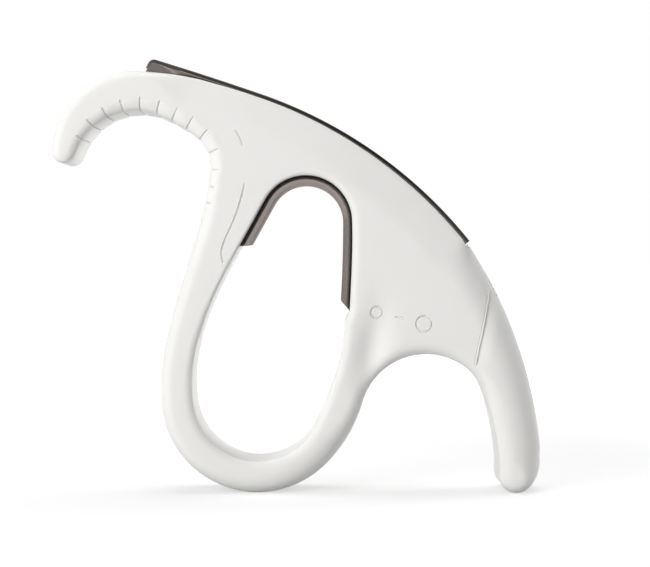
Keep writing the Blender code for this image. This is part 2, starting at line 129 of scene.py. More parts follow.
def normals(points, closed):  # to the left of the way
    count = len(points)
    found = []
    for i in range(count):
        before = points[(i - 1) % count] if closed or i > 0 else points[i]
        after = points[(i + 1) % count] if closed or i < count - 1 else points[i]
        tx, tz = heading(before, after)
        found.append((-tz, tx))
    return found


def shifted(points, distance, closed=False):
    return [moved(p, n, distance) for p, n in zip(points, normals(points, closed))]


def insideLoop(points, loop):
    x, z = points[:, 0:1], points[:, 1:2]
    a = np.asarray(loop)
    b = np.roll(a, -1, axis=0)
    spans = (a[:, 1] > z) != (b[:, 1] > z)
    rise = np.where(b[:, 1] == a[:, 1], 1e-12, b[:, 1] - a[:, 1])
    crossing = a[:, 0] + (z - a[:, 1]) / rise * (b[:, 0] - a[:, 0])
    return (spans & (x < crossing)).sum(axis=1) % 2 == 1


def distanceTo(points, starts, ends):  # from each point to the nearest of many short lines
    nearest = np.full(len(points), 1e9)
    for a, b in zip(np.asarray(starts), np.asarray(ends)):
        along = b - a
        t = np.clip(((points - a) @ along) / max(along @ along, 1e-12), 0.0, 1.0)
        nearest = np.minimum(nearest, np.linalg.norm(points - (a + t[:, None] * along), axis=1))
    return nearest


# mesh helpers

def meshObject(name, verts, faces):
    mesh = bpy.data.meshes.new(name)
    work = bmesh.new()
    made = [work.verts.new((x * mm, y * mm, z * mm)) for x, y, z in verts]
    for face in faces:
        work.faces.new([made[i] for i in face])
    bmesh.ops.recalc_face_normals(work, faces=work.faces[:])
    bmesh.ops.triangulate(work, faces=work.faces[:])
    work.to_mesh(mesh)
    work.free()
    found = bpy.data.objects.new(name, mesh)
    bpy.context.scene.collection.objects.link(found)
    return found


def prism(name, loop, nearY, farY):
    count = len(loop)
    verts = [(x, nearY, z) for x, z in loop] + [(x, farY, z) for x, z in loop]
    faces = [(i, (i + 1) % count, count + (i + 1) % count, count + i) for i in range(count)]
    for a, b, c in tessellate_polygon([[Vector((x, z, 0)) for x, z in loop]]):
        faces.append((a, b, c))
        faces.append((count + c, count + b, count + a))
    return meshObject(name, verts, faces)


def sweep(name, path, sections, slants, slantFade, side):
    across = normals(path, False)
    for i, (nx, nz) in enumerate(across):   # a slanted end fades out along the way
        slant = 0.0
        for end, share in zip((path[0], path[-1]), slants):
            slant += share * max(0.0, 1.0 - math.dist(path[i], end) / slantFade)
        across[i] = (nx + nz * slant, nz - nx * slant)
    ring = len(sections[0])
    verts = []
    for p, n, section in zip(path, across, sections):
        for inward, depth in section:
            verts.append((p[0] + n[0] * inward, side * depth, p[1] + n[1] * inward))
    faces = []
    for i in range(len(path) - 1):
        for k in range(ring):
            m = (k + 1) % ring
            faces.append((i * ring + k, i * ring + m, (i + 1) * ring + m, (i + 1) * ring + k))
    base = (len(path) - 1) * ring
    for start, section in ((0, sections[0]), (base, sections[-1])):
        flat = [Vector((inward, depth, 0)) for inward, depth in section]
        for corners in tessellate_polygon([flat]):
            faces.append(tuple(start + i for i in corners))
    return meshObject(name, verts, faces)


cleaning = {"sliver": 2e-7, "holeSides": 8, "weld": 1e-7}   # metres, corners and metres


def combine(base, others, operation):
    for other in others:
        step = base.modifiers.new(operation.lower(), "BOOLEAN")
        step.operation = operation
        step.solver = "EXACT"
        step.object = other
        bpy.context.view_layer.update()
        graph = bpy.context.evaluated_depsgraph_get()
        result = bpy.data.meshes.new_from_object(base.evaluated_get(graph), depsgraph=graph)
        base.modifiers.clear()
        former = base.data
        base.data = result
        bpy.data.meshes.remove(former)
        spent = other.data
        bpy.data.objects.remove(other)
        bpy.data.meshes.remove(spent)
        work = bmesh.new()   # slivers that the cut left are taken out, or closed where they are open
        work.from_mesh(result)
        bmesh.ops.dissolve_degenerate(work, dist=cleaning["sliver"], edges=work.edges[:])
        rim = [edge for edge in work.edges if edge.is_boundary]
        bmesh.ops.holes_fill(work, edges=rim, sides=cleaning["holeSides"])
        bmesh.ops.triangulate(work, faces=[face for face in work.faces if len(face.verts) > 3])
        work.to_mesh(result)
        work.free()


def finishMesh(found, look, sharpFrom):  # edges that bend by more degrees than that stay sharp
    found.data.materials.clear()
    found.data.materials.append(look)
    work = bmesh.new()
    work.from_mesh(found.data)
    bmesh.ops.remove_doubles(work, verts=work.verts[:], dist=cleaning["weld"])
    bmesh.ops.recalc_face_normals(work, faces=work.faces[:])
    for face in work.faces:
        face.smooth = True
        face.material_index = 0
    for edge in work.edges:
        edge.smooth = len(edge.link_faces) == 2 and edge.calc_face_angle(0.0) < math.radians(sharpFrom)
    openEdges = sum(len(edge.link_faces) != 2 for edge in work.edges)
    print(found.name, len(work.faces), "faces, open edges", openEdges)
    work.to_mesh(found.data)
    work.free()


# rope guide: its two mouths, its end walls and its flared lips

guide = {   # mm and degrees
    "halfGap": 6.2,             # from the middle to the inner face of either sheet
    "sheet": 1.35,
    "clearance": 0.3,           # between the steel and its room in the body
    "seam": 0.3,                # between the near half and the far half
    "crownRadius": 9.15,
    "rimWidth": 2.2,            # what shows of the lip round the crown
    "legLean": 29.0,            # left leg
    "legLength": 11.6,
    "legDrop": 19.4,            # right leg, and how far it leans in at its foot
    "legTaper": 0.6,
    "tipSlants": (-0.7, 1.0),   # how far the ends of the lower lip are cut aslant
    "slantFade": 8.0,
    "crownAngle": 65.0,
    "lipSink": 0.7,             # how far the lower lip stays below the cheeks
    "topRight": (38.7, -4.0),
    "topLeft": (-20.8, 33.5),
    "topRadius": 112.2,
    "topRise": 0.9,             # how far the upper mouth stands over the band of plastic
    "topBefore": 0.8,           # degrees beyond the right end
    "rampFrom": 5.0,            # degrees before the left end
    "rampLength": 27.3,
    "rampRadius": 900.0,
    "topFlare": 3.2,
    "topAngle": 45.0,
    "endRadius": 1.6,           # the upper mouth's left end, bent down
    "endTurn": 79.0,
    "endDrop": 1.4,
    "endFlare": 0.1,
    "endFade": (4.0, 11.0),     # distances from that end between which the lip's flare grows
    "lipRoot": 0.5,             # how far a lip reaches into its sheet
    "lipProud": 0.04,           # how much thicker than the sheet it is, on either side
    "cutEdge": 0.24,            # rounding of the sheet's cut edge
    "cutEdgeShare": 0.8,        # of the segment beside it, at most
    "cutEdgeCrown": 0.42,       # how far its middle stands out towards the corner
    "roomRoot": (0.25, 0.55),   # how far a lip's room reaches past the bend, and how much more
    "roomRootFlare": 2.0,       # it does once the lip flares by this much
    "roomBack": 0.1,            # more clearance behind the lip
    "roomOutside": 4.0,         # how far the tools reach beyond what they cut
    "crownFrom": (3.0, -12.0),  # height from which the sheet follows the lower mouth, left and right
    "leftFrom": 5.0,            # and the left wall
    "turns": 10,                # steps round a lip's bend
    "lipSteps": (0.7, 1.2),     # length of a step along the lower and the upper mouth
    "sheetSteps": (0.9, 1.5),
    "endStep": 0.3,
    "sharpFrom": 30.0,
}
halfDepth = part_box("body")[1][1] / mm
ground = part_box("body")[0][2] / mm
crownFlare = (halfDepth - guide["lipSink"] - guide["halfGap"] - guide["sheet"]) / (
    1 - math.cos(math.radians(guide["crownAngle"])))
rimRadius = guide["crownRadius"] + guide["rimWidth"]


def crownMouth(step):  # lower mouth, from the left leg over the crown to the right foot
    left = 180.0 - guide["legLean"]
    shoulder = polar((0.0, 0.0), guide["crownRadius"], left)
    tip = polar(shoulder, guide["legLength"], 270.0 - guide["legLean"])
    count = math.ceil(guide["legLength"] / step)
    points = [mixed(tip, shoulder, i / count) for i in range(count)]
    points += arc((0.0, 0.0), guide["crownRadius"], left, 0.0, step)
    count = math.ceil(guide["legDrop"] / step)
    for i in range(1, count + 1):
        t = i / count
        points.append((guide["crownRadius"] - guide["legTaper"] * t ** 2, -guide["legDrop"] * t))
    return points


def topMouth(step):  # upper mouth, from its right end along the arc, up the ramp and round the left end
    centre = arcCentre(guide["topRight"], guide["topLeft"], guide["topRadius"])
    radius = guide["topRadius"] + guide["topRise"]
    start = angleOf(centre, guide["topRight"]) - guide["topBefore"]
    rampStart = angleOf(centre, guide["topLeft"]) - guide["rampFrom"]
    rampEnd = rampStart + math.degrees(guide["rampLength"] / guide["rampRadius"])
    points = arc(centre, radius, start, rampStart, step)
    low = polar(points[-1], -guide["rampRadius"], rampStart)
    points += arc(low, guide["rampRadius"], rampStart, rampEnd, step)[1:]
    corner = polar(points[-1], -guide["endRadius"], rampEnd)
    points += arc(corner, guide["endRadius"], rampEnd, rampEnd + guide["endTurn"], guide["endStep"])[1:]
    down = rampEnd + guide["endTurn"] + 90.0
    return points + [polar(points[-1], guide["endDrop"] * share, down) for share in (0.5, 1.0)]


def topFlares(points):  # the upper lip flares less towards its left end
    start, end = guide["endFade"]
    span = guide["topFlare"] - guide["endFlare"]
    shares = [smooth((math.dist(p, points[-1]) - start) / (end - start)) for p in points]
    return [guide["endFlare"] + span * share for share in shares]


walls = {   # end walls of the guide, in mm and degrees
    "headGap": 0.55,            # between the left wall and the upper mouth's bent end
    "headRise": 0.5,
    "headLength": 3.4,
    "bend": ((-32.6, 13.7), 14.5, 76.0, -8.0),
    "leftFoot": (-2.5, 0.5),    # from the lower mouth's left end
    "leftFootWay": (0.1, -0.99),
    "rightFoot": (1.3, -0.9),   # from its right end
    "rightFootWay": (0.15, 0.99),
    "rightHead": (-1.7, -1.7),  # from the upper mouth's right end
    "rightHeadWay": (0.96, 0.28),
    "rightPull": 1.1,
    "mouthStep": 2.0,
    "bendStep": 1.0,
    "leftStep": 1.5,
    "rightStep": 1.2,
}


def leftWall():
    mouth = topMouth(walls["mouthStep"])
    down = heading(mouth[-2], mouth[-1])
    beside = moved(mouth[-3], (-down[1], down[0]), guide["sheet"] + walls["headGap"])
    head = moved(beside, down, -walls["headRise"])
    knee = moved(head, down, walls["headLength"])
    bend = arc(*walls["bend"], walls["bendStep"])
    foot = moved(crownMouth(walls["mouthStep"])[0], walls["leftFoot"], 1.0)
    entry = blend(knee, down, bend[0], heading(bend[0], bend[1]), walls["bendStep"])
    leave = blend(bend[-1], heading(bend[-2], bend[-1]), foot, walls["leftFootWay"], walls["leftStep"])
    return [head, knee] + entry + bend + leave + [foot]


def rightWall():
    foot = moved(crownMouth(walls["mouthStep"])[-1], walls["rightFoot"], 1.0)
    head = moved(topMouth(walls["mouthStep"])[0], walls["rightHead"], 1.0)
    between = blend(foot, walls["rightFootWay"], head, walls["rightHeadWay"],
                    walls["rightStep"], walls["rightPull"])
    return [foot] + between + [head]


def lipReach(flare, angle):
    return (flare + guide["sheet"]) * math.sin(math.radians(angle))


def lipSection(flare, angle, steps):  # flared sheet with its cut edge rounded off
    reach = lipReach(flare, angle)
    inner = guide["halfGap"] - guide["lipProud"]
    outer = guide["halfGap"] + guide["sheet"] + guide["lipProud"]
    turns = [math.radians(angle) * i / steps for i in range(steps + 1)]
    fold = flare + guide["sheet"]
    back = [(reach - flare * math.sin(a), outer + flare * (1 - math.cos(a))) for a in turns]
    rope = [(reach - fold * math.sin(a), inner + fold * (1 - math.cos(a))) for a in reversed(turns)]
    share = guide["cutEdgeShare"]
    corners = []
    for before, corner, after in ((back[-2], back[-1], rope[0]), (back[-1], rope[0], rope[1])):
        entry, leave = [
            moved(corner, heading(corner, other), min(guide["cutEdge"], share * math.dist(corner, other)))
            for other in (before, after)]
        middle = mixed(mixed(entry, leave, 0.5), corner, guide["cutEdgeCrown"])
        corners.append([entry, middle, leave])
    root = reach + guide["lipRoot"]
    return [(root, inner), (root, outer)] + back[:-1] + corners[0] + corners[1] + rope[1:]


def roomSection(flare, angle, steps):  # what is cut from the body for that lip
    grow = guide["clearance"]
    reach = lipReach(flare, angle)
    least, more = guide["roomRoot"]
    root = reach + least + more * smooth(flare / guide["roomRootFlare"])
    inner = guide["halfGap"] - grow
    outer = guide["halfGap"] + guide["sheet"] + grow + guide["roomBack"]
    hollow = max(flare - grow, guide["endFlare"])
    turns = [math.radians(angle) * i / steps for i in range(steps + 1)]
    back = [(reach - hollow * math.sin(a), outer + hollow * (1 - math.cos(a))) for a in turns]
    beyond = guide["roomOutside"]
    outside = halfDepth + beyond
    edge = [(back[-1][0], outside), (-beyond, outside), (-beyond, inner)]
    return [(root, inner), (root, outer)] + back + edge


def bothLips(side, room):
    crown = crownMouth(guide["lipSteps"][0])
    top = topMouth(guide["lipSteps"][1])
    section = roomSection if room else lipSection
    found = []
    for path, flares, angle, slants in (
        (crown, [crownFlare] * len(crown), guide["crownAngle"], guide["tipSlants"]),
        (top, topFlares(top), guide["topAngle"], (0.0, 0.0)),
    ):
        if room:
            path = list(path)
            path[0] = moved(path[0], heading(path[1], path[0]), guide["clearance"])
            path[-1] = moved(path[-1], heading(path[-2], path[-1]), guide["clearance"])
        sections = [section(flare, angle, guide["turns"]) for flare in flares]
        found.append(sweep("lip", path, sections, slants, guide["slantFade"], side))
    return found


def plateOutline():
    crown = crownMouth(guide["sheetSteps"][0])
    top = topMouth(guide["sheetSteps"][1])
    half = guide["lipRoot"] / 2
    crownLeft, crownRight = guide["crownFrom"]
    lower = shifted(crown, lipReach(crownFlare, guide["crownAngle"]) + half)
    lower = [p for p in lower if p[1] > (crownLeft if p[0] < 0 else crownRight)]
    reaches = [lipReach(flare, guide["topAngle"]) + half for flare in topFlares(top)]
    upper = [moved(p, n, reach) for p, n, reach in zip(top, normals(top, False), reaches)]
    left = [p for p in shifted(leftWall(), -guide["sheet"] / 2) if guide["leftFrom"] < p[1] < upper[-1][1]]
    right = [p for p in shifted(rightWall(), -guide["sheet"] / 2)
             if p[0] > lower[-1][0] + guide["sheet"] and p[1] < upper[0][1]]
    return upper + left + lower + right


def guideHalf(name, node, side, look):
    near = side * guide["halfGap"]
    plate = prism(name, plateOutline(), near, near + side * guide["sheet"])
    deep = side * (guide["halfGap"] + guide["sheet"] / 2)
    ends = [prism("wall", wall + shifted(wall, -guide["sheet"])[::-1], side * guide["seam"] / 2, deep)
            for wall in (leftWall(), rightWall())]
    combine(plate, ends + bothLips(side, False), "UNION")
    finishMesh(plate, look, guide["sharpFrom"])
    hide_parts(node)
    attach(plate, "root")


# moulded body: the side view, and the rounding that runs along each of its edges

sideView = {   # mm and degrees: arcs as centre, radius and two angles, bows as two ends and a radius
    "ring": ((-11.8, -43.0), 23.8, 184.0, 318.0),
    "ringInside": ((-11.8, -43.0), 15.95, 336.0, 188.0),
    "arch": ((29.6, -49.0), 16.3, 165.0, 42.0),
    "thumb": ((47.7, -60.2), (45.65, -47.05), 63.5),
    "thumbTip": (3.9, 180.0, 270.0),        # its centre follows from the thumb and the ground
    "heel": ((49.0, -58.9), 8.95, -50.0, 4.0),
    "back": ((58.0, -55.2), (43.15, -10.2), 107.4),
    "hookTop": ((-27.5, 35.28), (-39.3, 36.94), 85.75),
    "hookBack": ((-42.0, 16.6), 20.45, 97.0, 176.0),
    "hookTip": (2.95, 184.0, 345.0),        # its centre follows from the hook's back
    "hookTipRise": 0.7,
    "grip": ((-41.7, 11.6), 15.7, 155.0, 62.0),
    "neck": ((-32.6, 13.7), 9.2, 54.0, -8.0),
    "ankle": 2.1,                           # how far the plastic passes the guide's left leg
    "footDrop": 2.6,                        # and its right leg
    "underFoot": (1.75, 5.6),               # how far in and down it goes below that leg
    "footLean": 0.05,
}

body = {   # roundings: width, depth, slope of the land inside the edge, degrees left at the edge, bevel
    "limbLeft": (3.0, 3.2, 0.0, 0.0, 0.0),
    "limbRight": (5.7, 5.2, 0.0, 0.0, 0.0),
    "limbInner": (2.1, 0.85, 0.0, 45.0, 0.0),
    "arch": (3.0, 2.6, 0.10, 10.0, 0.0),
    "thumb": (3.4, 1.3, 0.02, 45.0, 0.0),
    "thumbTip": (3.2, 3.1, 0.02, 0.0, 0.0),
    "back": (7.0, 5.8, 0.06, 0.0, 0.0),
    "backTop": (7.6, 5.4, 0.13, 0.0, 0.0),
    "gripTip": (2.2, 2.0, 0.0, 0.0, 0.0),
    "grip": (3.7, 2.5, 0.0, 0.0, 0.0),
    "neck": (3.4, 3.2, 0.0, 0.0, 0.0),
    "hook": (2.4, 2.8, 0.0, 0.0, 0.0),
    "hookTip": (2.4, 2.0, 0.0, 0.0, 0.0),
    "band": (7.4, 0.35, 0.17, 0.0, 0.25),
    "bandEnd": (9.6, 0.5, 0.14, 0.0, 0.2),
    "rim": (0.8, 0.8, 0.0, 0.0, 0.0),
    "rightRim": (1.9, 1.3, 0.05, 0.0, 0.0),
    "bevelReach": 0.5,
    "grooveFrom": 146.0,        # degrees round the grip at which its first groove lies
    "groovePitch": 4.12,
    "grooveDepth": 0.5,
    "grooveHalfWidth": 0.26,
    "grooveClear": 1.6,         # half widths that hold no other point of the outline
    "grooveLengths": (1.7, 2.5, 3.2, 3.5, 3.5, 3.6, 3.7, 3.6, 3.3, 2.6, 2.4, 1.6, 1.4),
    "grooveFades": (0.4, 0.45),  # way over which a groove runs out, at the face and at its inner end
    "bulges": (0.04, 0.13),     # of the plastic between two grooves, growing over the first of them
    "bulgeGrowth": 6,
    "dishCentre": (16.2, -31.5),  # shallow dish in each cheek
    "dishWay": (0.2, 0.98),
    "dishDepth": 1.7,
    "dishSpreads": (3.4, 9.5),
    "step": 0.75,               # length of a step along the outline
    "layers": 9,                # steps round its edge
    "gridStep": 1.0,
    "gridRow": 0.866,
    "gridClear": 0.42,          # steps between the grid and the rounded edge
    "gridWeld": 1e-7,
    "roomOver": (4.0, 3.0),     # how far the rope room is cut beyond the upper and the lower mouth
    "sharpFrom": 34.0,
}


def outerLoop():
    s = body["step"]
    tipRadius = sideView["thumbTip"][0]
    tip = (sideView["thumb"][0][0] + tipRadius, ground + tipRadius)
    (hookX, hookZ), hookRadius = sideView["hookBack"][:2]
    hookEnd = (hookX - hookRadius + sideView["hookTip"][0], hookZ + sideView["hookTipRise"])
    topBow = arcBetween(guide["topRight"], guide["topLeft"], guide["topRadius"], s)
    return chain([
        (arc(*sideView["ring"], s), body["limbLeft"], body["limbRight"]),
        (arc(*sideView["arch"], s), body["arch"], body["arch"]),
        (arcBetween(*sideView["thumb"], s)[::-1], body["thumb"], body["thumb"]),
        (arc(tip, *sideView["thumbTip"], s), body["thumb"], body["thumbTip"]),
        (arc(*sideView["heel"], s), body["thumbTip"], body["back"]),
        (arcBetween(*sideView["back"], s), body["back"], body["backTop"]),
        (topBow, body["bandEnd"], body["band"]),
        (arcBetween(*sideView["hookTop"], s), body["band"], body["hook"]),
        (arc(*sideView["hookBack"], s), body["hook"], body["hook"]),
        (arc(hookEnd, *sideView["hookTip"], s), body["hookTip"], body["hookTip"]),
        (arc(*sideView["grip"], s), body["gripTip"], body["grip"]),
        (arc(*sideView["neck"], s), body["grip"], body["neck"]),
    ], s)


def innerLoop():
    s = body["step"]
    left = 180.0 - guide["legLean"]
    shoulder = polar((0.0, 0.0), rimRadius, left)
    ankle = polar(shoulder, guide["legLength"] + sideView["ankle"], 270.0 - guide["legLean"])
    foot = (rimRadius - guide["legTaper"], -guide["legDrop"] - sideView["footDrop"])
    inset, drop = sideView["underFoot"]
    under = (rimRadius - inset, -guide["legDrop"] - drop)
    lean = sideView["footLean"]
    return chain([
        (arc(*sideView["ringInside"], s), body["limbInner"], body["limbInner"]),
        ([ankle, mixed(ankle, shoulder, 0.5)], body["rim"], body["rim"]),
        (arc((0.0, 0.0), rimRadius, left, 0.0, s), body["rim"], body["rightRim"]),
        ([moved(foot, (lean, 1.0), 2.0), foot], body["rightRim"], body["rightRim"]),
        ([under, moved(under, (-lean, -1.0), 1.0)], body["limbInner"], body["limbInner"]),
    ], s)


def groovedLoop(rows):  # rows gain a depth of cut and, at a groove, how far it reaches in from the edge
    first = polar(*sideView["grip"][:2], body["grooveFrom"])
    start = min(range(len(rows)), key=lambda i: math.dist(rows[i][:2], first))
    lead = 2   # rows before the first groove
    order = [(start - lead + i) % len(rows) for i in range(len(rows))]
    runs = [0.0]
    for a, b in zip(order, order[1:]):
        runs.append(runs[-1] + math.dist(rows[a][:2], rows[b][:2]))
    w = body["grooveHalfWidth"]
    pitch = body["groovePitch"]
    lengths = body["grooveLengths"]
    marks = []   # way along the edge, depth of cut, reach
    for i, length in enumerate(lengths):
        at = runs[lead] + pitch * i
        marks += [(at - w, 0.0, 0.0), (at, body["grooveDepth"], length), (at + w, 0.0, 0.0)]
    last = marks[-1][0]
    low, high = body["bulges"]
    for run in runs:
        phase = (run - runs[lead]) / pitch
        away = abs(phase - round(phase)) * pitch
        if -w < run - runs[lead] < last - runs[lead] and away < w * body["grooveClear"]:
            continue
        inside = 0.0 < phase < len(lengths) - 1
        bulge = low + (high - low) * smooth(phase / body["bulgeGrowth"])
        marks.append((run, -bulge * math.sin(math.pi * phase) ** 2 if inside else 0.0, 0.0))
    marks.sort(key=lambda mark: mark[0])
    made = []
    k = 0
    for at, cut, length in marks:
        while k < len(runs) - 2 and runs[k + 1] < at:
            k += 1
        share = (at - runs[k]) / (runs[k + 1] - runs[k])
        made.append(mixed(rows[order[k]], rows[order[k + 1]], share) + (cut, length))
    return made


def faceRelief(x, z):  # how far the face lies below the flat, away from engravings
    centre, way, spreads = body["dishCentre"], body["dishWay"], body["dishSpreads"]
    dx, dz = x - centre[0], z - centre[1]
    along = dx * way[0] + dz * way[1]
    across = dx * way[1] - dz * way[0]
    return body["dishDepth"] * math.exp(-(across / spreads[0]) ** 2 - (along / spreads[1]) ** 2)


def curve(points, step):   # smooth run through a few points
    made = [points[0]]
    for i in range(len(points) - 1):
        a, b = points[i], points[i + 1]
        before = points[max(0, i - 1)]
        after = points[min(len(points) - 1, i + 2)]
        made += blend(a, heading(before, b), b, heading(a, after), step) + [b]
    return made


engraving = {   # lines cut into both cheeks, in mm
    "step": 0.4,
    "strokeHalfWidth": 0.3,
    "strokeFloor": 0.4,         # share of the width
    "strokeDepth": 0.5,
    "fade": 0.7,                # over which the end of a line runs out
    "dashFade": 0.1,
    "edgeFade": 1.8,
    "fadeFrom": 0.12,           # share of that way which the end itself has behind it
    "clear": 0.5,               # how far a tool stands over the flat of the cheek
    "lap": 0.02,
    "beyond": 1.0,              # how much lower a tool goes where the cheek has ended
    "rayFrom": 50.0,            # where the look for the cheek's surface starts
    "upperStroke": [(-17.35, 22.55), (-16.2, 20.7), (-15.39, 18.63)],
    "lowerStroke": [(-15.02, 9.44), (-15.46, 6.99), (-16.52, 3.31), (-17.99, -0.51), (-19.85, -4.63),
                    (-20.63, -7.5), (-20.22, -10.39)],
    "thinRope": ((17.4, -22.3), 1.45),
    "thickRope": ((29.0, -25.1), 1.95),
    "ropeDash": [(21.8, -23.3), (23.1, -23.6), (24.4, -23.9)],
    "cheekEdge": [(44.1, -12.8), (44.7, -14.0), (45.05, -15.5), (45.05, -17.5), (44.75, -20.0),
                  (44.3, -22.4), (43.75, -25.0), (43.25, -27.5), (42.35, -31.5), (41.9, -33.8),
                  (41.6, -35.8)],
    # across the cheek's edge: a fine groove, its crest, and the step down to the thumb hook,
    # as distances to the left of its way and shares of the step
    "edgeStep": 0.5,
    "edgeFrom": -0.5,
    "edgeProfile": [(-0.34, 0.3), (-0.03, 0.02), (0.03, 0.02), (0.2, 1.0), (0.9, 0.72), (1.6, 0.45),
                    (2.4, 0.2)],
    "edgeTo": (3.2, 0.03),
}


def engrave(found, path, profile, closed, fade):  # profile: (distance to the left, height over the face)
    surface = BVHTree.FromObject(found, bpy.context.evaluated_depsgraph_get())
    across = normals(path, closed)
    count = len(path)
    ring = len(profile)
    for side in (-1, 1):
        verts = []
        for p, n in zip(path, across):
            run = min(math.dist(p, path[0]), math.dist(p, path[-1]))
            share = 1.0 if closed else smooth(engraving["fadeFrom"] + run / fade)
            level = None
            for left, height in profile:
                x, z = moved(p, n, left)
                start = Vector((x * mm, side * engraving["rayFrom"] * mm, z * mm))
                hit = surface.ray_cast(start, Vector((0.0, -side, 0.0)))[0]
                level = abs(hit.y) / mm if hit else (level or halfDepth) - engraving["beyond"]
                deep = level + height * share if height < engraving["clear"] else halfDepth + height
                verts.append((x, side * deep, z))
        faces = []
        for i in range(count if closed else count - 1):
            j = (i + 1) % count
            for k in range(ring):
                m = (k + 1) % ring
                faces.append((i * ring + k, i * ring + m, j * ring + m, j * ring + k))
        if not closed:
            for start in (0, (count - 1) * ring):
                flat = [Vector((left, verts[start + k][1], 0)) for k, (left, height) in enumerate(profile)]
                faces += [tuple(start + i for i in corners) for corners in tessellate_polygon([flat])]
        combine(found, [meshObject("tool", verts, faces)], "DIFFERENCE")


def engraveCheeks(found):
    step = engraving["step"]
    half = engraving["strokeHalfWidth"]
    floor = half * engraving["strokeFloor"]
    deep = -engraving["strokeDepth"]
    clear = engraving["clear"]
    lap = engraving["lap"]
    stroke = [(half, clear), (half, lap), (floor, deep), (-floor, deep), (-half, lap), (-half, clear)]
    for name, fade in (("upperStroke", "fade"), ("lowerStroke", "fade"), ("ropeDash", "dashFade")):
        engrave(found, curve(engraving[name], step), stroke, False, engraving[fade])
    for name in ("thinRope", "thickRope"):
        circle = arc(*engraving[name], 0.0, 360.0, step)[:-1]
        engrave(found, circle, stroke, True, engraving["fade"])
    start = engraving["edgeFrom"]
    end, endLap = engraving["edgeTo"]
    ledge = [(start, clear), (start, lap)]
    ledge += [(left, -engraving["edgeStep"] * share) for left, share in engraving["edgeProfile"]]
    ledge += [(end, endLap), (end, clear)]
    engrave(found, curve(engraving["cheekEdge"], step), ledge, False, engraving["edgeFade"])


def buildBody(look):
    loops = [groovedLoop(outerLoop()), [row + (0.0, 0.0) for row in innerLoop()]]
    turns = [1 - i / body["layers"] for i in range(body["layers"] + 1)]
    layers = [(-1, share) for share in turns] + [(1, share) for share in reversed(turns)]
    faceFade, endFade = body["grooveFades"]
    verts = []
    faces = []
    starts = []
    for rows in loops:
        inward = normals(rows, True)
        starts.append(len(verts))
        for side, turn in layers:
            for (x, z, width, depth, slope, edgeAngle, bevel, cut, length), n in zip(rows, inward):
                first = math.radians(edgeAngle)
                a = first + (math.pi / 2 - first) * turn
                shift = width * (1 - math.cos(a) / math.cos(first))
                spread = min(1.0, (width - shift) / faceFade)
                if cut > 0:
                    spread *= smooth((length - shift) / endFade)
                px, pz = moved((x, z), n, shift)
                drop = depth * (1 - math.sin(a)) / (1 - math.sin(first)) + slope * (width - shift)
                drop += bevel * max(0.0, 1 - shift / body["bevelReach"]) ** 2
                drop += faceRelief(px, pz) * math.sin(a)
                px, pz = moved((px, pz), n, cut * spread * math.cos(a))
                verts.append((px, side * (halfDepth - drop - cut * spread * math.sin(a)), pz))
        count = len(rows)
        base = starts[-1]
        for layer in range(len(layers) - 1):
            for i in range(count):
                j = (i + 1) % count
                low = base + layer * count
                faces.append((low + i, low + j, low + count + j, low + count + i))
    farLayer = len(layers) - 1

    points = []   # (x, z) of the face's plan
    owners = []   # (near vertex, far vertex) of a point on the rounding
    edges = []
    for k, rows in enumerate(loops):
        base = len(points)
        for i in range(len(rows)):
            near = starts[k] + i
            points.append((verts[near][0], verts[near][2]))
            owners.append((near, starts[k] + farLayer * len(rows) + i))
            edges.append((base + i, base + (i + 1) % len(rows)))
    rims = [points[:len(loops[0])], points[len(loops[0]):]]

    fixed = np.array(points)
    edgeStarts = [fixed[a] for a, b in edges]
    edgeEnds = [fixed[b] for a, b in edges]
    step = body["gridStep"]
    rowStep = step * body["gridRow"]
    low, high = fixed.min(axis=0), fixed.max(axis=0)
    grid = []
    for r in range(int((high[1] - low[1]) / rowStep) + 1):
        for c in range(int((high[0] - low[0]) / step) + 1):
            grid.append((low[0] + (c + 0.5 * (r % 2)) * step, low[1] + r * rowStep))
    grid = np.array(grid)
    grid = grid[insideLoop(grid, rims[0]) & ~insideLoop(grid, rims[1])]
    grid = grid[distanceTo(grid, edgeStarts, edgeEnds) > step * body["gridClear"]]
    points += [(float(x), float(z)) for x, z in grid]

    plan, _, triangles, sources, _, _ = delaunay_2d_cdt(
        [Vector(p) for p in points], edges, [], 1, body["gridWeld"])
    print("face plan has", len(plan) - len(points), "more points, where its lines cross")
    nearOf = []
    farOf = []
    for p, source in zip(plan, sources):
        if source and source[0] < len(owners):
            near, far = owners[source[0]]
            nearOf.append(near)
            farOf.append(far)
            continue
        y = halfDepth - faceRelief(p[0], p[1])
        nearOf.append(len(verts))
        verts.append((p[0], -y, p[1]))
        farOf.append(len(verts))
        verts.append((p[0], y, p[1]))
    middles = np.array([[sum(plan[i][k] for i in t) / 3 for k in (0, 1)] for t in triangles])
    keep = insideLoop(middles, rims[0]) & ~insideLoop(middles, rims[1])
    for t, wanted in zip(triangles, keep):
        if wanted:
            faces.append(tuple(nearOf[i] for i in t))
            faces.append(tuple(farOf[i] for i in reversed(t)))
    found = meshObject("mouldedBody", verts, faces)

    grow = guide["sheet"] + guide["clearance"]
    left = shifted(leftWall(), -grow)
    right = shifted(rightWall(), -grow)
    left.append(moved(left[-1], (0.0, -1.0), guide["clearance"]))
    right.insert(0, moved(right[0], (0.0, -1.0), guide["clearance"]))
    crownStep, topStep = guide["sheetSteps"]
    overTop, overCrown = body["roomOver"]
    room = shifted(topMouth(topStep), -overTop) + left + shifted(crownMouth(crownStep), -overCrown) + right
    deep = guide["halfGap"] + grow
    tools = [prism("rope room", room, -deep, deep)] + bothLips(-1, True) + bothLips(1, True)
    combine(found, tools, "DIFFERENCE")
    engraveCheeks(found)
    finishMesh(found, look, body["sharpFrom"])
    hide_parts("body")
    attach(found, "root")


# finishes

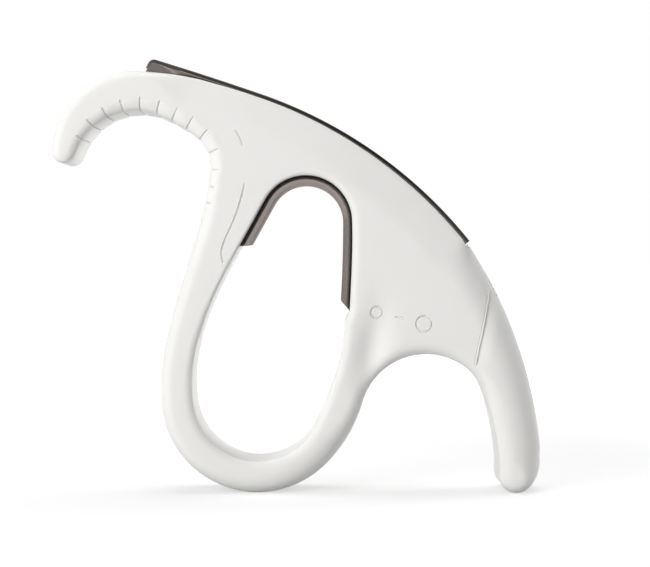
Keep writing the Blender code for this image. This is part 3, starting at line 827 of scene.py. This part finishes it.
def linear(code):  # sRGB hex to linear
    values = [int(code[i:i + 2], 16) / 255 for i in (1, 3, 5)]
    return tuple(v / 12.92 if v <= 0.04045 else ((v + 0.055) / 1.055) ** 2.4 for v in values) + (1.0,)


def addNode(tree, kind, settings=None, links=None):
    node = tree.nodes.new(kind)
    for key, value in (settings or {}).items():
        if isinstance(key, int) or key in node.inputs:
            node.inputs[key].default_value = value
        else:
            setattr(node, key, value)
    for key, source in (links or {}).items():
        tree.links.new(source, node.inputs[key])
    return node


def newMaterial(name):
    found = bpy.data.materials.new(name)
    found.use_nodes = True
    found.node_tree.nodes.clear()
    return found, found.node_tree


# polyamide, moulded in a polished tool: a soft satin gloss, thin edges that let a little light in,
# and a white that is not quite even, where the melt has flowed
polyamide = {
    "colour": "#eeedeb",
    "shade": "#eae9e6",
    "flow": 50 / 3 * mm,        # width of a patch of the other shade, near 17 mm
    "detail": 3.0,
    "roughness": 0.42,
    "scatter": 0.12,
    "scatterReach": (1.0, 0.8, 0.6),   # of red, green and blue light, in scatter depths
    "scatterDepth": 0.5 * mm,
}


def mouldedPolyamide():
    found, tree = newMaterial("moulded white polyamide")
    place = addNode(tree, "ShaderNodeTexCoord").outputs["Object"]
    flow = addNode(tree, "ShaderNodeTexNoise", {
        "Scale": 1 / polyamide["flow"], "Detail": polyamide["detail"]}, {"Vector": place})
    tone = addNode(tree, "ShaderNodeMix", {
        "data_type": "RGBA", 6: linear(polyamide["colour"]), 7: linear(polyamide["shade"])}, {
        0: flow.outputs["Fac"]})
    shader = addNode(tree, "ShaderNodeBsdfPrincipled", {
        "Roughness": polyamide["roughness"], "Subsurface Weight": polyamide["scatter"],
        "Subsurface Radius": polyamide["scatterReach"], "Subsurface Scale": polyamide["scatterDepth"]}, {
        "Base Color": tone.outputs[2]})
    addNode(tree, "ShaderNodeOutputMaterial", None, {"Surface": shader.outputs[0]})
    return found


# stainless steel sheet, pressed and then tumbled with stones: dull, the same in every direction,
# with fine pits. Real ones are near 0.05 mm wide and would not show, so they are drawn coarser.
steel = {
    "colour": "#a59d99",
    "shade": "#8b827e",
    "roughness": 0.4,
    "grain": 0.35 * mm,
    "detail": 2.0,
    "pitting": 0.12,
    "pitDepth": 0.05 * mm,
}


def tumbledStainless():
    found, tree = newMaterial("tumbled stainless steel")
    place = addNode(tree, "ShaderNodeTexCoord").outputs["Object"]
    grain = addNode(tree, "ShaderNodeTexNoise", {
        "Scale": 1 / steel["grain"], "Detail": steel["detail"]}, {"Vector": place})
    tone = addNode(tree, "ShaderNodeMix", {
        "data_type": "RGBA", 6: linear(steel["colour"]), 7: linear(steel["shade"])}, {
        0: grain.outputs["Fac"]})
    bumps = addNode(tree, "ShaderNodeBump", {
        "Strength": steel["pitting"], "Distance": steel["pitDepth"]}, {"Height": grain.outputs["Fac"]})
    shader = addNode(tree, "ShaderNodeBsdfPrincipled", {
        "Metallic": 1.0, "Roughness": steel["roughness"]}, {
        "Base Color": tone.outputs[2], "Normal": bumps.outputs["Normal"]})
    addNode(tree, "ShaderNodeOutputMaterial", None, {"Surface": shader.outputs[0]})
    return found


# studio

studio = {   # metres, unless mm is written
    "cameraAway": 478.0,             # mm
    "aimedAt": (6.67, -7.72),        # mm, to the right and up
    "pixelsPerMm": 3.995,
    "imageSize": (650, 567),
    "aimPixel": (333, 253),          # where that point lies in the picture
    "sensorWidth": 36.0,             # mm
    "cameraClips": (0.01, 50.0),
    "floorHalf": 8.0,
    "floorColour": "#c2c2c2",
    "floorLift": (0.52, 1.0),        # how much the floor that is seen glows, near the object and far off
    "liftReach": (0.10, 0.60),
    "skyLevel": 0.18,                # light from all around
    "behindLevel": 1.0,              # what glossy rays find behind the object, in front of it and above it
    "frontLevel": 0.25,
    "aboveLevels": (0.42, 0.05),     # straight up, and up to the right
    "behindFrom": (-0.1, 0.4),       # how far a ray points back, to the right and up as these levels change
    "upRightFrom": (0.2, 0.36),
    "aboveFrom": (0.15, 0.7),
    "lampCentre": (0.0, 0.0, -0.015),
    "lamps": (   # name, direction from the object, distance, size, power in watts
        ("key", (-0.60, -0.77, 0.21), 1.0, 0.9, 10.8),
        ("rim", (0.87, 0.5, 0.0), 1.0, 0.5, 8.4),
        ("overhead", (0.0, 0.16, 0.98), 0.8, 0.7, 4.0),
    ),
}


def seenRays(tree):  # camera, glossy and transmission rays
    path = addNode(tree, "ShaderNodeLightPath")
    some = addNode(tree, "ShaderNodeMath", {"operation": "ADD", "use_clamp": True}, {
        0: path.outputs["Is Camera Ray"], 1: path.outputs["Is Glossy Ray"]})
    return addNode(tree, "ShaderNodeMath", {"operation": "ADD", "use_clamp": True}, {
        0: some.outputs[0], 1: path.outputs["Is Transmission Ray"]}).outputs[0]


def buildStudio():
    scene = bpy.context.scene
    scene.view_settings.view_transform = "Standard"
    camera = bpy.data.cameras.new("camera")
    holder = bpy.data.objects.new("camera", camera)
    scene.collection.objects.link(holder)
    scene.camera = holder
    distance = studio["cameraAway"]
    imageWidth, imageHeight = studio["imageSize"]
    holder.location = (studio["aimedAt"][0] * mm, -distance * mm, studio["aimedAt"][1] * mm)
    holder.rotation_euler = (math.radians(90), 0, 0)
    camera.sensor_width = studio["sensorWidth"]
    camera.lens = distance * studio["pixelsPerMm"] / imageWidth * camera.sensor_width
    camera.shift_x = (imageWidth / 2 - studio["aimPixel"][0]) / imageWidth
    camera.shift_y = (studio["aimPixel"][1] - imageHeight / 2) / imageWidth
    camera.clip_start, camera.clip_end = studio["cameraClips"]

    floor = bpy.data.meshes.new("floor")
    half = studio["floorHalf"]
    corners = [(-half, -half, 0), (half, -half, 0), (half, half, 0), (-half, half, 0)]
    floor.from_pydata(corners, [], [(0, 1, 2, 3)])
    floorObject = bpy.data.objects.new("floor", floor)
    floorObject.location.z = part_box("body")[0][2]
    scene.collection.objects.link(floorObject)
    paper, tree = newMaterial("white paper floor")
    matt = addNode(tree, "ShaderNodeBsdfDiffuse", {"Color": linear(studio["floorColour"])})
    seen = seenRays(tree)
    place = addNode(tree, "ShaderNodeTexCoord").outputs["Object"]
    away = addNode(tree, "ShaderNodeVectorMath", {"operation": "LENGTH"}, {0: place})
    near, far = studio["liftReach"]
    low, high = studio["floorLift"]
    grown = addNode(tree, "ShaderNodeMapRange", {
        "interpolation_type": "SMOOTHSTEP", "From Min": near, "From Max": far,
        "To Min": low, "To Max": high}, {"Value": away.outputs["Value"]})
    lift = addNode(tree, "ShaderNodeMath", {"operation": "MULTIPLY"}, {0: seen, 1: grown.outputs[0]})
    glow = addNode(tree, "ShaderNodeEmission", {"Color": (1, 1, 1, 1)}, {"Strength": lift.outputs[0]})
    total = addNode(tree, "ShaderNodeAddShader")
    tree.links.new(matt.outputs[0], total.inputs[0])
    tree.links.new(glow.outputs[0], total.inputs[1])
    addNode(tree, "ShaderNodeOutputMaterial", None, {"Surface": total.outputs[0]})
    floor.materials.append(paper)

    world = bpy.data.worlds.new("studio")
    scene.world = world
    world.use_nodes = True
    tree = world.node_tree
    tree.nodes.clear()
    path = addNode(tree, "ShaderNodeLightPath")
    mirrored = addNode(tree, "ShaderNodeMath", {"operation": "ADD", "use_clamp": True}, {
        0: path.outputs["Is Glossy Ray"], 1: path.outputs["Is Transmission Ray"]})
    way = addNode(tree, "ShaderNodeTexCoord").outputs["Generated"]
    parts = addNode(tree, "ShaderNodeSeparateXYZ", None, {0: way})
    near, far = studio["behindFrom"]
    behind = addNode(tree, "ShaderNodeMapRange", {
        "interpolation_type": "SMOOTHSTEP", "From Min": near, "From Max": far,
        "To Min": studio["frontLevel"], "To Max": studio["behindLevel"]}, {"Value": parts.outputs["Y"]})
    near, far = studio["upRightFrom"]
    up, upRight = studio["aboveLevels"]
    overhead = addNode(tree, "ShaderNodeMapRange", {
        "interpolation_type": "SMOOTHSTEP", "From Min": near, "From Max": far,
        "To Min": up, "To Max": upRight}, {"Value": parts.outputs["X"]})
    near, far = studio["aboveFrom"]
    above = addNode(tree, "ShaderNodeMapRange", {
        "interpolation_type": "SMOOTHSTEP", "From Min": near, "From Max": far, "To Min": 1.0}, {
        "Value": parts.outputs["Z"], "To Max": overhead.outputs[0]})
    room = addNode(tree, "ShaderNodeMath", {"operation": "MULTIPLY"}, {
        0: behind.outputs[0], 1: above.outputs[0]})
    level = addNode(tree, "ShaderNodeMix", {"data_type": "FLOAT", 2: studio["skyLevel"]}, {
        0: mirrored.outputs[0], 3: room.outputs[0]})
    shown = addNode(tree, "ShaderNodeMix", {"data_type": "FLOAT", 3: 1.0}, {
        0: path.outputs["Is Camera Ray"], 2: level.outputs[0]})
    mix = addNode(tree, "ShaderNodeBackground", {"Color": (1, 1, 1, 1)}, {"Strength": shown.outputs[0]})
    addNode(tree, "ShaderNodeOutputWorld", None, {"Surface": mix.outputs[0]})

    for name, direction, away, size, power in studio["lamps"]:
        light = bpy.data.lights.new(name, "AREA")
        light.shape = "DISK"
        light.size = size
        light.energy = power
        lamp = bpy.data.objects.new(name, light)
        lamp.location = Vector(direction).normalized() * away + Vector(studio["lampCentre"])
        lamp.rotation_euler = Vector(direction).to_track_quat("Z", "Y").to_euler()
        lamp.visible_glossy = False   # the world is what shines in the steel
        scene.collection.objects.link(lamp)
    print("studio set up")


buildBody(mouldedPolyamide())
print("moulded body built")
steelLook = tumbledStainless()
guideHalf("guideNear", "rope_guide_near", -1, steelLook)
guideHalf("guideFar", "rope_guide_far", 1, steelLook)
print("rope guide built")
buildStudio()
